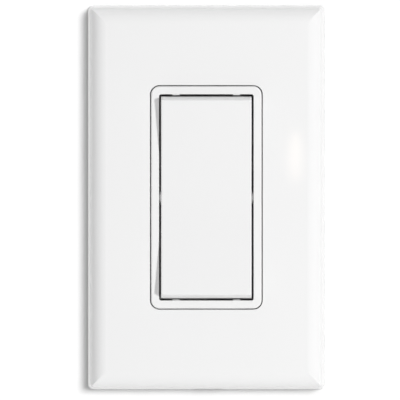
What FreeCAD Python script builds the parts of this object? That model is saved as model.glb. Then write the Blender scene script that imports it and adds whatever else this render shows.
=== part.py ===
import FreeCAD, Part
import math
import os

# Wireless remote wall switch, in millimetres.
# The wall is the plane y = 0, the switch faces -Y and +Z is up. The origin is the middle of the back face.
# A depth is a distance out from the wall, so a point at depth d lies at y = -d.

# Cover plate
plate_width = 70.4
plate_height = 114.3
plate_depth = 10.0
plate_wall = 2.0
plate_corner_radius = 1.5
plate_edge_radius = 4.7
plate_draft_deg = 6.0
opening_edge_round = 0.12
pry_slot_width = 8.0
pry_slot_height = 1.2

# Rocker
rocker_width = 26.9
rocker_length = 60.1
rocker_wall = 1.5
rocker_skirt_wall = 1.1
rocker_skirt_depth = 3.6
rocker_slope_deg = 6.0
rocker_blend_radius = 60.0
rocker_end_lean = 1.0
rocker_end_round = 0.5
rocker_edge_round = 0.45
rocker_travel_deg = 4.5
rocker_rib_wall = 1.0
rocker_rib_height = 1.2
rocker_rib_spacing = 12.0
pivot_below_face = 3.0
pivot_radius = 1.4
pivot_shoulder_radius = 1.8
pivot_shoulder_height = 0.4
pivot_length = 1.9

# Bezel frame
rocker_gap = 0.6
bezel_border = 2.4
bezel_proud = 0.6
bezel_corner_radius = 2.5
bezel_window_radius = 0.6
bezel_outer_round = 0.5
bezel_inner_round = 0.15
bezel_plate_gap = 0.3
flange_thickness = 1.6
flange_side = 7.0
flange_end = 4.2
flange_corner_radius = 3.0
guide_rib_width = 2.1
guide_rib_offset = 9.0
guide_rib_height = 0.25
guide_rib_setback = 0.9

# Bezel screws
screw_offset_x = 20.0
screw_offset_z = 26.0
screw_radius = 1.0
screw_head_radius = 1.9
screw_head_height = 1.3
screw_head_bevel = 0.4
screw_head_room = 0.4
screw_engagement = 3.6
screw_hole_clearance = 0.2

# Back plate
back_thickness = 1.8
back_edge_clearance = 0.3
box_screw_spacing = 83.3
box_screw_hole_radius = 2.2
post_radius = 2.6
snap_length = 8.0
snap_offset_z = 30.0
snap_arm_thickness = 1.2
snap_ledge_depth = 3.0
snap_ledge_height = 1.2
snap_ledge_reach = 0.9
snap_barb_reach = 1.1
snap_barb_height = 1.5
snap_arm_gap = 0.5
snap_gap = 0.1

# Switch module
module_side_clearance = 0.3
module_floor = 1.0
module_wall = 0.9
module_rim = 0.8
toe_length = 1.0
toe_width = 4.0
toe_offset = 7.0
clip_gap = 0.1
clip_wall = 1.0
clip_height = 0.8

# Energy bow and its springs
bow_headroom = 0.1
bow_contact_gap = 0.08
bow_pivot_below_top = 2.45
bow_bar_width = 2.4
bow_bar_height = 2.05
bow_rail_width = 1.4
bow_rail_gap = 0.3
bow_rail_below_top = 1.0
bow_hub_radius = 1.7
bow_pin_radius = 0.75
pin_seat_clearance = 0.01
running_clearance = 0.05
spring_thickness = 0.25
spring_width = 1.8
spring_half_span = 8.6
spring_seat_gap = 0.05
spring_stop_height = 0.6

# Generator
armature_width = 5.0
armature_thickness = 0.8
armature_overlap = 1.0
armature_gap = 0.1
seat_clearance = 0.05
magnet_thickness = 0.5
magnet_width = 4.0
core_thickness = 0.9
core_width = 3.0
pole_length = 1.6
pole_width = 4.0
pole_setback = 2.0
coil_floor_gap = 0.2
bobbin_wall = 0.35
bobbin_flange = 0.6
bobbin_width = 8.4
winding_margin = 0.1
terminal_offset = 3.4
terminal_width = 0.8
terminal_thickness = 0.35
terminal_overlap = 1.2

# Radio board
bay_clearance = 0.6
bay_wall_height = 3.4
board_thickness = 0.8
board_standoff = 0.4
board_clearance = 0.1
cover_thickness = 0.8
cover_lip_height = 0.6
cover_lip_wall = 0.7
chip_size = 5.0
chip_height = 0.9
crystal_length = 3.2
crystal_width = 2.5
crystal_height = 0.8
capacitor_length = 3.2
capacitor_width = 2.5
capacitor_height = 1.6
rectifier_length = 3.0
rectifier_width = 1.6
rectifier_height = 1.1
antenna_thickness = 0.4
antenna_height = 1.6
antenna_inset = 0.5
part_spacing = 0.7

# How near two measures are when they count as the same
tolerance = 1e-6

# Levels along the depth
travel = math.radians(rocker_travel_deg)
slope = math.radians(rocker_slope_deg)
draft = math.radians(plate_draft_deg)
bezel_face = plate_depth + bezel_proud
plate_inner_face = plate_depth - plate_wall
pivot_depth = bezel_face - pivot_below_face
rocker_underside = bezel_face - rocker_wall
skirt_bottom = bezel_face - rocker_skirt_depth
flange_front = plate_inner_face - screw_head_room - screw_head_height
flange_back = flange_front - flange_thickness
floor_top = back_thickness + module_floor
bow_top = rocker_underside - bow_headroom
bow_pivot_depth = bow_top - bow_pivot_below_top
bow_bar_bottom = bow_top - bow_bar_height
board_bottom = floor_top + board_standoff
board_top = board_bottom + board_thickness
bay_wall_top = floor_top + bay_wall_height

# Widths and lengths that follow from one another
window_width = rocker_width + 2 * rocker_gap
window_length = rocker_length + 2 * rocker_gap
bezel_width = window_width + 2 * bezel_border
bezel_length = window_length + 2 * bezel_border
opening_width = bezel_width + 2 * bezel_plate_gap
opening_length = bezel_length + 2 * bezel_plate_gap
rocker_end_radius = rocker_length / 2
module_half_width = rocker_width / 2 - rocker_skirt_wall - module_side_clearance
module_top_end = rocker_end_radius - rocker_wall - 2 * module_side_clearance
board_half_width = module_half_width - module_wall - board_clearance
board_high_end = module_top_end - module_wall - board_clearance
antenna_side = board_half_width - antenna_inset
antenna_end = board_high_end - antenna_inset
part_row_length = max(chip_size, 2 * capacitor_width + part_spacing)
part_row = antenna_end - antenna_thickness - part_spacing - part_row_length
board_low_end = part_row - part_spacing - terminal_overlap
bay_start = board_low_end - board_clearance - module_wall
bow_bar_outer = bay_start - bay_clearance
bow_bar_inner = bow_bar_outer - bow_bar_width
bow_rail_outer = module_half_width - module_wall - bow_rail_gap
bow_rail_inner = bow_rail_outer - bow_rail_width
module_low_end = -(bow_bar_outer + 2 * bay_clearance + module_wall)
armature_half_length = bow_bar_inner + armature_overlap
armature_rise = armature_half_length * math.tan(travel)
armature_low = bow_top - armature_thickness / math.cos(travel) - armature_rise
pole_top = bow_pivot_depth + (armature_low - bow_pivot_depth) * math.cos(travel) - armature_gap
pole_outer = bow_bar_inner - pole_setback
pole_inner = pole_outer - pole_length
coil_top = pole_top - magnet_thickness
coil_bottom = floor_top + coil_floor_gap
coil_depth = (coil_top + coil_bottom) / 2
bobbin_end = pole_inner - seat_clearance


def block(x0, x1, d0, d1, z0, z1):
    """A box between two sides, two depths and two heights."""
    return Part.makeBox(x1 - x0, d1 - d0, z1 - z0, FreeCAD.Vector(x0, -d1, z0))


def both_sides(x0, x1, d0, d1, z0, z1):
    """The same box at +x and at -x."""
    return [block(x0, x1, d0, d1, z0, z1), block(-x1, -x0, d0, d1, z0, z1)]


def slab(width, length, d0, d1, radius):
    """A centred plate with rounded corners, seen from the front."""
    plate = block(-width / 2, width / 2, d0, d1, -length / 2, length / 2)
    corners = [e for e in plate.Edges if abs(e.tangentAt(e.FirstParameter).y) > 0.5]
    return plate.makeFillet(radius, corners)


def rod_along_depth(radius, x, z, d0, d1):
    return Part.makeCylinder(radius, d1 - d0, FreeCAD.Vector(x, -d0, z), FreeCAD.Vector(0, -1, 0))


def rod_along_x(radius, x0, x1, depth, z):
    return Part.makeCylinder(radius, x1 - x0, FreeCAD.Vector(x0, -depth, z), FreeCAD.Vector(1, 0, 0))


def prism(points, start, length, along_x):
    """A straight-sided outline of (across, depth) points, drawn out along x or along z."""
    if along_x:
        corners = [FreeCAD.Vector(start, -d, u) for u, d in points]
        way = FreeCAD.Vector(length, 0, 0)
    else:
        corners = [FreeCAD.Vector(u, -d, start) for u, d in points]
        way = FreeCAD.Vector(0, 0, length)
    return Part.Face(Part.makePolygon(corners + corners[:1])).extrude(way)


def front_edges(shape, depth):
    """The edges that lie no deeper than a level."""
    return [e for e in shape.Edges if e.BoundBox.YMax < tolerance - depth]


def opening_rim(shape, depth, width, length):
    """The front edges round a centred opening of this size."""
    x, z = width / 2 + tolerance, length / 2 + tolerance
    return [e for e in front_edges(shape, depth) if e.BoundBox.XMax < x and e.BoundBox.ZMax < z]


def join(solids):
    """One clean solid from pieces that touch or overlap."""
    return solids[0].multiFuse(solids[1:]).removeSplitter()


def arc_points(centre, radius, start, end):
    """Three points on an arc, for angles measured from the across axis towards the front."""
    angles = (start, (start + end) / 2, end)
    return [(centre[0] + radius * math.cos(a), centre[1] + radius * math.sin(a)) for a in angles]


def side_offset(depth, inset):
    """How far in from the plate's foot its drafted side lies at a depth, or a face parallel to it."""
    return (inset + depth * math.sin(draft)) / math.cos(draft)


def pillow_bar(half, length, inset, along_x):
    """The plate's section, drafted sides rounded into a flat face, drawn out along one side."""
    edge_centre = plate_depth - plate_edge_radius
    centre = (half - side_offset(edge_centre, plate_edge_radius), edge_centre)
    edge_arc = arc_points(centre, plate_edge_radius - inset, draft, math.pi / 2)
    foot = -inset
    side = half - side_offset(foot, inset)

    def place(point, sign):
        across, depth = sign * point[0], -point[1]
        if along_x:
            return FreeCAD.Vector(-length / 2, depth, across)
        return FreeCAD.Vector(across, depth, -length / 2)

    edges = [Part.makeLine(place((side, foot), -1), place((side, foot), 1))]
    for sign in (1, -1):
        edges.append(Part.makeLine(place((side, foot), sign), place(edge_arc[0], sign)))
        edges.append(Part.Arc(*[place(p, sign) for p in edge_arc]).toShape())
    edges.append(Part.makeLine(place(edge_arc[2], 1), place(edge_arc[2], -1)))
    outline = Part.Wire(Part.__sortEdges__(edges))
    way = FreeCAD.Vector(length, 0, 0) if along_x else FreeCAD.Vector(0, 0, length)
    return Part.Face(outline).extrude(way)


def pillow(inset):
    """Two crossed bars, whose common part has the plate's mitred corners."""
    upright = pillow_bar(plate_width / 2, plate_height, inset, False)
    across = pillow_bar(plate_height / 2, plate_width, inset, True)
    return upright.common(across)


def around_edge(shape):
    """The places of a snap: two on each long side and one on each end, from one at +x."""
    half_turn = FreeCAD.Rotation(FreeCAD.Vector(0, 1, 0), 180)
    shapes = []
    for z in (-snap_offset_z, snap_offset_z):
        here = shape.copy()
        here.translate(FreeCAD.Vector(plate_width / 2, 0, z))
        there = here.copy()
        there.Placement = FreeCAD.Placement(FreeCAD.Vector(), half_turn).multiply(there.Placement)
        shapes += [here, there]
    for turn in (-90, 90):
        end = shape.copy()
        end.translate(FreeCAD.Vector(plate_height / 2, 0, 0))
        end.rotate(FreeCAD.Vector(), FreeCAD.Vector(0, 1, 0), turn)
        shapes.append(end)
    return shapes


def snap_ledge_tip():
    return -side_offset(snap_ledge_depth + snap_ledge_height, plate_wall) - snap_ledge_reach


def drafted_block():
    """The block that bounds the plate: sides leaning in by the draft, corners rounded all the way up."""
    foot_x, foot_z = plate_width / 2, plate_height / 2
    lean = side_offset(plate_depth, 0)
    face_x, face_z = foot_x - lean, foot_z - lean
    front_corner = (-face_x, -plate_depth, -face_z)
    wedge = Part.makeWedge(*front_corner, -foot_z, -foot_x, face_x, 0, face_z, foot_z, foot_x)
    corners = [e for e in wedge.Edges if e.BoundBox.YLength > plate_depth / 2]
    return wedge.makeFillet(plate_corner_radius, corners)


def wall_plate():
    shell = pillow(0).common(drafted_block()).cut(pillow(plate_wall))
    opening_radius = bezel_corner_radius + bezel_plate_gap
    shell = shell.cut(slab(opening_width, opening_length, 0, plate_depth, opening_radius))
    rim = opening_rim(shell, plate_depth, opening_width, opening_length)
    shell = shell.makeFillet(opening_edge_round, rim)
    ledge_top = snap_ledge_depth + snap_ledge_height
    foot = snap_ledge_depth - snap_ledge_reach
    tip = snap_ledge_tip()
    ledge = [(-plate_wall, foot), (-plate_wall, ledge_top), (tip, ledge_top), (tip, snap_ledge_depth)]
    rib = prism(ledge, -snap_length / 2, snap_length, False)
    shell = join([shell] + around_edge(rib))
    low = -plate_height / 2
    through = low + side_offset(pry_slot_height, plate_wall)
    slot = block(-pry_slot_width / 2, pry_slot_width / 2, 0, pry_slot_height, low, through)
    return shell.cut(slot)


def snap_arm():
    """An upright finger whose barb hooks in front of a ledge of the cover plate."""
    outer = snap_ledge_tip() - snap_arm_gap
    inner = outer - snap_arm_thickness
    catch = snap_ledge_depth + snap_ledge_height + snap_gap
    tip = catch + snap_barb_height
    outline = [(inner, 0), (outer, 0), (outer, catch), (outer + snap_barb_reach, catch)]
    outline += [(outer, tip), (inner, tip)]
    return prism(outline, -snap_length / 2, snap_length, False)


def screw_places():
    return [(x, z) for x in (-screw_offset_x, screw_offset_x) for z in (-screw_offset_z, screw_offset_z)]


def module_clips():
    """Hooks over the toes at both ends of the module's floor."""
    catch = floor_top + clip_gap
    top = catch + clip_height
    hooks = []
    for end, way in ((module_top_end, 1), (module_low_end, -1)):
        lip = end + way * (toe_length / 2)
        face = end + way * (toe_length + clip_gap)
        back = face + way * clip_wall
        outline = [(face, 0), (back, 0), (back, top), (lip, top), (lip, catch), (face, catch)]
        for x in (-toe_offset, toe_offset):
            hooks.append(prism(outline, x - toe_width / 2, toe_width, True))
    return hooks


def back_plate():
    margin = 2 * (side_offset(back_thickness, plate_wall) + back_edge_clearance)
    width, length = plate_width - margin, plate_height - margin
    pieces = [slab(width, length, 0, back_thickness, plate_corner_radius)]
    pieces += around_edge(snap_arm())
    pieces += module_clips()
    for x, z in screw_places():
        pieces.append(rod_along_depth(post_radius, x, z, 0, flange_back))
    plate = join(pieces)
    for x, z in screw_places():
        plate = plate.cut(rod_along_depth(screw_radius, x, z, flange_back - screw_engagement, flange_back))
    for z in (-box_screw_spacing / 2, box_screw_spacing / 2):
        plate = plate.cut(rod_along_depth(box_screw_hole_radius, 0, z, 0, back_thickness))
    return plate


def bezel_frame():
    ring = slab(bezel_width, bezel_length, flange_back, bezel_face, bezel_corner_radius)
    ring = ring.makeFillet(bezel_outer_round, front_edges(ring, bezel_face))
    window = slab(window_width, window_length, flange_back, bezel_face, bezel_window_radius)
    ring = ring.cut(window)
    ring = ring.makeFillet(bezel_inner_round, opening_rim(ring, bezel_face, window_width, window_length))
    flange_width = bezel_width + 2 * flange_side
    flange_length = bezel_length + 2 * flange_end
    flange = slab(flange_width, flange_length, flange_back, flange_front, flange_corner_radius).cut(window)
    pieces = [ring, flange]
    rib_front = bezel_face - guide_rib_setback
    rib_start = window_length / 2 - guide_rib_height
    rib_root = window_length / 2 + guide_rib_height
    rib_left = guide_rib_offset - guide_rib_width / 2
    rib_right = guide_rib_offset + guide_rib_width / 2
    for z0, z1 in ((rib_start, rib_root), (-rib_root, -rib_start)):
        pieces += both_sides(rib_left, rib_right, flange_back, rib_front, z0, z1)
    frame = join(pieces)
    reach = rocker_width / 2 + pivot_length + running_clearance
    frame = frame.cut(rod_along_x(pivot_radius + running_clearance, -reach, reach, pivot_depth, 0))
    for x, z in screw_places():
        hole = screw_radius + screw_hole_clearance
        frame = frame.cut(rod_along_depth(hole, x, z, flange_back, flange_front))
    return frame


def bezel_screws():
    screws = []
    tip = flange_back - screw_engagement
    head_top = flange_front + screw_head_height
    for x, z in screw_places():
        shank = rod_along_depth(screw_radius - pin_seat_clearance, x, z, tip, flange_front)
        head = rod_along_depth(screw_head_radius, x, z, flange_front, head_top)
        head = head.makeChamfer(screw_head_bevel, front_edges(head, head_top))
        screws.append(join([shank, head]))
    return Part.makeCompound(screws)


def rocker_form(inset, bottom, width):
    """The dished paddle: two sloping faces blended in the middle, with ends that lean in."""
    blend = rocker_blend_radius + inset
    blend_centre = bezel_face + rocker_blend_radius
    end = rocker_end_radius - inset
    vertex = blend_centre - blend / math.cos(slope)
    # Below the bezel's face the ends are arcs about the pivot, so the gap stays even as the rocker tips.
    low = (math.sqrt(end ** 2 - (pivot_depth - bottom) ** 2), bottom)
    middle = (end, pivot_depth)
    brow = (math.sqrt(end ** 2 - (bezel_face - pivot_depth) ** 2), bezel_face)
    tip_z = brow[0] - rocker_end_lean
    tip = (tip_z, vertex + tip_z * math.tan(slope))
    tangent = (blend * math.sin(slope), blend_centre - blend * math.cos(slope))

    def place(point, sign=1):
        return FreeCAD.Vector(-width / 2, -point[1], sign * point[0])

    edges = [Part.makeLine(place(low, -1), place(low))]
    for sign in (1, -1):
        edges.append(Part.Arc(place(low, sign), place(middle, sign), place(brow, sign)).toShape())
        edges.append(Part.makeLine(place(brow, sign), place(tip, sign)))
        edges.append(Part.makeLine(place(tip, sign), place(tangent, sign)))
    dip = place((0, blend_centre - blend))
    edges.append(Part.Arc(place(tangent, -1), dip, place(tangent)).toShape())
    outline = Part.Wire(Part.__sortEdges__(edges))
    return Part.Face(outline).extrude(FreeCAD.Vector(width, 0, 0))


def rocker():
    solid = rocker_form(0, skirt_bottom, rocker_width)
    highest = front_edges(solid, -solid.BoundBox.YMin)
    ends = [e for e in highest if e.BoundBox.XLength > rocker_width / 2]
    solid = solid.makeFillet(rocker_end_round, ends)
    upper = front_edges(solid, bezel_face)
    sides = [e for e in upper if e.BoundBox.XLength < tolerance and e.BoundBox.ZLength > rocker_end_round]
    solid = solid.makeFillet(rocker_edge_round, sides)
    inner_width = rocker_width - 2 * rocker_skirt_wall
    hollow = rocker_form(rocker_wall, skirt_bottom, inner_width)
    pieces = [solid.cut(hollow)]
    rib_start = bow_bar_outer - rocker_rib_wall - running_clearance
    rib_end = rib_start + rocker_rib_wall
    tall = rocker_underside + rocker_length
    for sign in (1, -1):
        z0, z1 = sorted((sign * rib_start, sign * rib_end))
        press = block(-inner_width / 2, inner_width / 2, bow_top + bow_contact_gap, tall, z0, z1)
        pieces.append(press.common(hollow))
        z0, z1 = sorted((sign * rib_end, sign * rocker_length))
        raised = hollow.copy()
        raised.translate(FreeCAD.Vector(0, rocker_rib_height, 0))
        for x in (-rocker_rib_spacing / 2, rocker_rib_spacing / 2):
            stiffener = block(x - rocker_rib_wall / 2, x + rocker_rib_wall / 2, skirt_bottom, tall, z0, z1)
            pieces.append(stiffener.common(hollow).cut(raised))
    for side in (-1, 1):
        inner, outer = side * inner_width / 2, side * rocker_width / 2
        shoulder = outer + side * pivot_shoulder_height
        stub = outer + side * pivot_length
        pieces.append(rod_along_x(pivot_shoulder_radius, *sorted((inner, shoulder)), pivot_depth, 0))
        pieces.append(rod_along_x(pivot_radius, *sorted((inner, stub)), pivot_depth, 0))
    return join(pieces)


def module_base():
    half = module_half_width
    pieces = [block(-half, half, back_thickness, floor_top, module_low_end, module_top_end)]
    rim_top = floor_top + module_rim
    pieces += both_sides(half - module_wall, half, floor_top, rim_top, module_low_end, bay_start)
    pieces.append(block(-half, half, floor_top, rim_top, module_low_end, module_low_end + module_wall))
    bay = block(-half, half, floor_top, bay_wall_top, bay_start, module_top_end)
    inside = block(-half + module_wall, half - module_wall, floor_top, bay_wall_top,
                   bay_start + module_wall, module_top_end - module_wall)
    pieces.append(bay.cut(inside))
    ledge = 2 * module_wall
    pieces += both_sides(half - ledge, half, floor_top, board_bottom, bay_start, module_top_end)
    toe_left, toe_right = toe_offset - toe_width / 2, toe_offset + toe_width / 2
    for end, way in ((module_top_end, 1), (module_low_end, -1)):
        z0, z1 = sorted((end, end + way * toe_length))
        pieces += both_sides(toe_left, toe_right, back_thickness, floor_top, z0, z1)
    hub = bow_hub_radius
    for side in (1, -1):
        x0, x1 = sorted((side * half, side * (half - module_wall)))
        pieces.append(block(x0, x1, floor_top, bow_pivot_depth, -hub, hub))
        pieces.append(rod_along_x(hub, x0, x1, bow_pivot_depth, 0))
    stop = spring_half_span + spring_seat_gap
    spring_centre = bow_bar_inner + bow_bar_width / 2
    for z in (spring_centre, -spring_centre):
        pieces += both_sides(stop, stop + spring_stop_height, floor_top, floor_top + spring_stop_height,
                             z - spring_width / 2, z + spring_width / 2)
    base = join(pieces)
    base = base.cut(rod_along_x(bow_pin_radius + pin_seat_clearance, -half, half, bow_pivot_depth, 0))
    notch = terminal_width / 2 + board_clearance
    for x in (-terminal_offset, terminal_offset):
        base = base.cut(block(x - notch, x + notch, board_top - board_clearance, bay_wall_top,
                              bay_start, bay_start + module_wall))
    return base


def radio_cover():
    half = module_half_width
    top = block(-half, half, bay_wall_top, bay_wall_top + cover_thickness, bay_start, module_top_end)
    gap = module_wall + seat_clearance
    side, low, high = half - gap, bay_start + gap, module_top_end - gap
    lip = block(-side, side, bay_wall_top - cover_lip_height, bay_wall_top, low, high)
    wall = cover_lip_wall
    bore = block(-side + wall, side - wall, bay_wall_top - cover_lip_height, bay_wall_top,
                 low + wall, high - wall)
    return join([top, lip.cut(bore)])


def energy_bow():
    pieces = []
    rail_top = bow_top - bow_rail_below_top
    rail_bottom = bow_pivot_depth - bow_pin_radius
    end = bow_bar_outer
    pieces += both_sides(bow_rail_inner, bow_rail_outer, rail_bottom, rail_top, -end, end)
    for sign in (1, -1):
        z0, z1 = sorted((sign * bow_bar_inner, sign * bow_bar_outer))
        bar = block(-bow_rail_outer, bow_rail_outer, bow_bar_bottom, bow_top, z0, z1)
        z0, z1 = sorted((sign * bow_bar_inner, sign * (armature_half_length + seat_clearance)))
        half = armature_width / 2 + seat_clearance
        seat = bow_top - armature_thickness - (armature_overlap + armature_thickness) * math.tan(travel)
        pieces.append(bar.cut(block(-half, half, seat - seat_clearance, bow_top, z0, z1)))
        x0, x1 = sorted((sign * bow_rail_inner, sign * bow_rail_outer))
        pieces.append(rod_along_x(bow_hub_radius, x0, x1, bow_pivot_depth, 0))
    bore = bow_pin_radius + running_clearance
    return join(pieces).cut(rod_along_x(bore, -bow_rail_outer, bow_rail_outer, bow_pivot_depth, 0))


def bow_pivot_pins():
    pins = [rod_along_x(bow_pin_radius, bow_rail_inner, module_half_width, bow_pivot_depth, 0)]
    pins.append(rod_along_x(bow_pin_radius, -module_half_width, -bow_rail_inner, bow_pivot_depth, 0))
    return Part.makeCompound(pins)


def centring_springs():
    """Two arched leaves, feet on the module's floor and crest under the bars of the bow."""
    crest = bow_bar_bottom - spring_seat_gap
    foot = floor_top + spring_seat_gap
    inner_span = spring_half_span - spring_thickness
    start = bow_bar_inner + (bow_bar_width - spring_width) / 2
    upper = ((-spring_half_span, foot), (0, crest), (spring_half_span, foot))
    under = ((inner_span, foot), (0, crest - spring_thickness), (-inner_span, foot))
    springs = []
    for z in (start, -start - spring_width):
        outer = [FreeCAD.Vector(x, -d, z) for x, d in upper]
        inner = [FreeCAD.Vector(x, -d, z) for x, d in under]
        edges = [Part.Arc(*outer).toShape(), Part.makeLine(outer[2], inner[0])]
        edges += [Part.Arc(*inner).toShape(), Part.makeLine(inner[2], outer[0])]
        springs.append(Part.Face(Part.Wire(edges)).extrude(FreeCAD.Vector(0, 0, spring_width)))
    return Part.makeCompound(springs)


def armature():
    """A flat iron bar bent so that either half lies level on its pole at the end of the travel."""
    thick = armature_thickness / math.cos(travel)
    tip = armature_low + armature_rise
    end = armature_half_length
    outline = [(-end, tip), (0, armature_low), (end, tip), (end, tip + thick), (0, armature_low + thick)]
    outline.append((-end, tip + thick))
    return prism(outline, -armature_width / 2, armature_width, True)


def magnet():
    reach = pole_inner - seat_clearance
    return block(-magnet_width / 2, magnet_width / 2, coil_top, pole_top, -reach, reach)


def coil_core():
    """A yoke through the coil with an upturned pole at each end."""
    low, high = coil_depth - core_thickness / 2, coil_depth + core_thickness / 2
    pieces = [block(-core_width / 2, core_width / 2, low, high, -pole_outer, pole_outer)]
    pieces.append(block(-pole_width / 2, pole_width / 2, low, pole_top, pole_inner, pole_outer))
    pieces.append(block(-pole_width / 2, pole_width / 2, low, pole_top, -pole_outer, -pole_inner))
    return join(pieces)


def bobbin_tube(grow, half_length):
    across = core_width / 2 + seat_clearance + grow
    deep = core_thickness / 2 + seat_clearance + grow
    return block(-across, across, coil_depth - deep, coil_depth + deep, -half_length, half_length)


def coil_bobbin():
    half = bobbin_width / 2
    pieces = [bobbin_tube(bobbin_wall, bobbin_end)]
    pieces.append(block(-half, half, coil_bottom, coil_top, bobbin_end - bobbin_flange, bobbin_end))
    pieces.append(block(-half, half, coil_bottom, coil_top, -bobbin_end, -bobbin_end + bobbin_flange))
    bobbin = join(pieces).cut(bobbin_tube(0, bobbin_end))
    low, high = board_top - seat_clearance, board_top + terminal_thickness + seat_clearance
    slot = terminal_width / 2 + seat_clearance
    for x in (-terminal_offset, terminal_offset):
        bobbin = bobbin.cut(block(x - slot, x + slot, low, high, bobbin_end - bobbin_flange, bobbin_end))
    return bobbin


def coil_winding():
    end = bobbin_end - bobbin_flange
    half = bobbin_width / 2 - winding_margin
    body = block(-half, half, coil_bottom + winding_margin, coil_top - winding_margin, -end, end)
    round_edges = [e for e in body.Edges if abs(e.tangentAt(e.FirstParameter).z) > 0.5]
    body = body.makeFillet((coil_top - coil_bottom) / 4, round_edges)
    return body.cut(bobbin_tube(bobbin_wall, end))


def coil_terminals():
    start = bobbin_end - bobbin_flange
    end = board_low_end + terminal_overlap
    half = terminal_width / 2
    pins = [block(x - half, x + half, board_top, board_top + terminal_thickness, start, end)
            for x in (-terminal_offset, terminal_offset)]
    return Part.makeCompound(pins)


def circuit_board():
    half = board_half_width
    return block(-half, half, board_bottom, board_top, board_low_end, board_high_end)


def on_board(x, z, width, length, height):
    """A board part with its lower left corner at (x, z)."""
    return block(x, x + width, board_top, board_top + height, z, z + length)


def part_side():
    """How far out the board parts reach, inside the antenna."""
    return antenna_side - antenna_thickness - part_spacing


def capacitor_start():
    return part_side() - capacitor_length


def radio_chip():
    return on_board(-part_side(), part_row, chip_size, chip_size, chip_height)


def crystal():
    x = capacitor_start() - part_spacing - crystal_length
    return on_board(x, part_row, crystal_length, crystal_width, crystal_height)


def rectifier():
    x = capacitor_start() - part_spacing - rectifier_length
    z = part_row + crystal_width + part_spacing
    return on_board(x, z, rectifier_length, rectifier_width, rectifier_height)


def storage_capacitors():
    pair = []
    for i in range(2):
        z = part_row + i * (capacitor_width + part_spacing)
        pair.append(on_board(capacitor_start(), z, capacitor_length, capacitor_width, capacitor_height))
    return Part.makeCompound(pair)


def antenna():
    """A stamped strip standing round three edges of the board."""
    side, end = antenna_side, antenna_end
    top = board_top + antenna_height
    thin = antenna_thickness
    outer = block(-side, side, board_top, top, part_row, end)
    inner = block(-side + thin, side - thin, board_top, top, part_row, end - thin)
    return outer.cut(inner)


nodes = [wall_plate, back_plate, bezel_frame, bezel_screws, rocker]
nodes += [module_base, radio_cover, energy_bow, bow_pivot_pins, centring_springs]
nodes += [armature, magnet, coil_core, coil_bobbin, coil_winding, coil_terminals]
nodes += [circuit_board, radio_chip, crystal, rectifier, storage_capacitors, antenna]

os.makedirs("parts", exist_ok=True)
for node in nodes:
    shape = node()
    shape.exportStep("parts/" + node.__name__ + ".step")
    print(node.__name__, len(shape.Solids), shape.isValid(), round(shape.Volume, 2))
print("hinge depths", round(pivot_depth, 4), round(bow_pivot_depth, 4))
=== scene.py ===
# %% [markdown]
# # A wireless wall switch, dressed for its photograph
# The switch is a white cover plate, a narrow bezel in its opening and one broad rocker. Behind them sits a
# small generator with a radio, so that the switch needs neither a cable nor a battery.
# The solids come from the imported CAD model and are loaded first. They stay where they are; this lesson gives
# them their finishes, adds the details that are too small for the solids, and sets up the light and the
# camera.

# %% Load the switch
import math

import bmesh
import bpy
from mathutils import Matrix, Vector


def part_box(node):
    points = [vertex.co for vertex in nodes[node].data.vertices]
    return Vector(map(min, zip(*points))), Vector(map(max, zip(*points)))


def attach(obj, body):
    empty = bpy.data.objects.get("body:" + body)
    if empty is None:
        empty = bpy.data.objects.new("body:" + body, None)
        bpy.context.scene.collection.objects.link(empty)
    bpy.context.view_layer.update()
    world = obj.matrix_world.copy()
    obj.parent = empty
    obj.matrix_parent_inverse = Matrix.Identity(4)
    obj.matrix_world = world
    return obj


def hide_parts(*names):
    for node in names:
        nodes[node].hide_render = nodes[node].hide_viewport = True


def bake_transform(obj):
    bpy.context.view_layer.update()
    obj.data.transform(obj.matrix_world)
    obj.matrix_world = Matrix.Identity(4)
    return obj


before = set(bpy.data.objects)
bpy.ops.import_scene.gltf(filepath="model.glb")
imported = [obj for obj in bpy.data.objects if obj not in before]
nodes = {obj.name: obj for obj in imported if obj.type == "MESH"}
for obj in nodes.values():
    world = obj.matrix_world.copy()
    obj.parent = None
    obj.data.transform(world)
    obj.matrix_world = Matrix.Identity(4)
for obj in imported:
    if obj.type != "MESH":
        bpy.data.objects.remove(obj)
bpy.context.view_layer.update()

MM = 0.001

# %% [markdown]
# ## A short way to write node trees
# Shaders and Geometry Nodes are both trees of nodes. Written out in full, each node takes a line to make it,
# one for each setting and one for each link. A few small helpers keep the cells below readable: one puts a
# node in a tree and fills its inputs, one does arithmetic, one makes a point from its axes, and one starts a
# group with named inputs and outputs. The Math node is the same in both kinds of tree.


# %% Helpers for node trees
def fill(tree, node, inputs):
    """Give a node's inputs their values, or link them to the sockets given."""
    for name, value in inputs.items():
        if isinstance(value, bpy.types.NodeSocket):
            tree.links.new(value, node.inputs[name])
        else:
            node.inputs[name].default_value = value


def put(tree, kind, inputs=None, **settings):
    """Add a node with its settings and inputs."""
    node = tree.nodes.new(kind)
    for name, value in settings.items():
        setattr(node, name, value)
    fill(tree, node, inputs or {})
    return node


def reckon(tree, operation, *values):
    """The result of a Math node on values or sockets."""
    return put(tree, "ShaderNodeMath", dict(enumerate(values)), operation=operation).outputs[0]


def at(tree, **axes):
    """A point from the axes given, with the others at zero."""
    return put(tree, "ShaderNodeCombineXYZ", axes).outputs["Vector"]


def start_group(name, kind, inputs, outputs):
    """A group with named sockets, with its input and output nodes."""
    group = bpy.data.node_groups.new(name, kind)
    for title, socket_type, value in inputs:
        socket = group.interface.new_socket(title, in_out="INPUT", socket_type="NodeSocket" + socket_type)
        socket.default_value = value
    for title, socket_type in outputs:
        group.interface.new_socket(title, in_out="OUTPUT", socket_type="NodeSocket" + socket_type)
    return group, group.nodes.new("NodeGroupInput").outputs, group.nodes.new("NodeGroupOutput").inputs


print("helpers ready")

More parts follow.
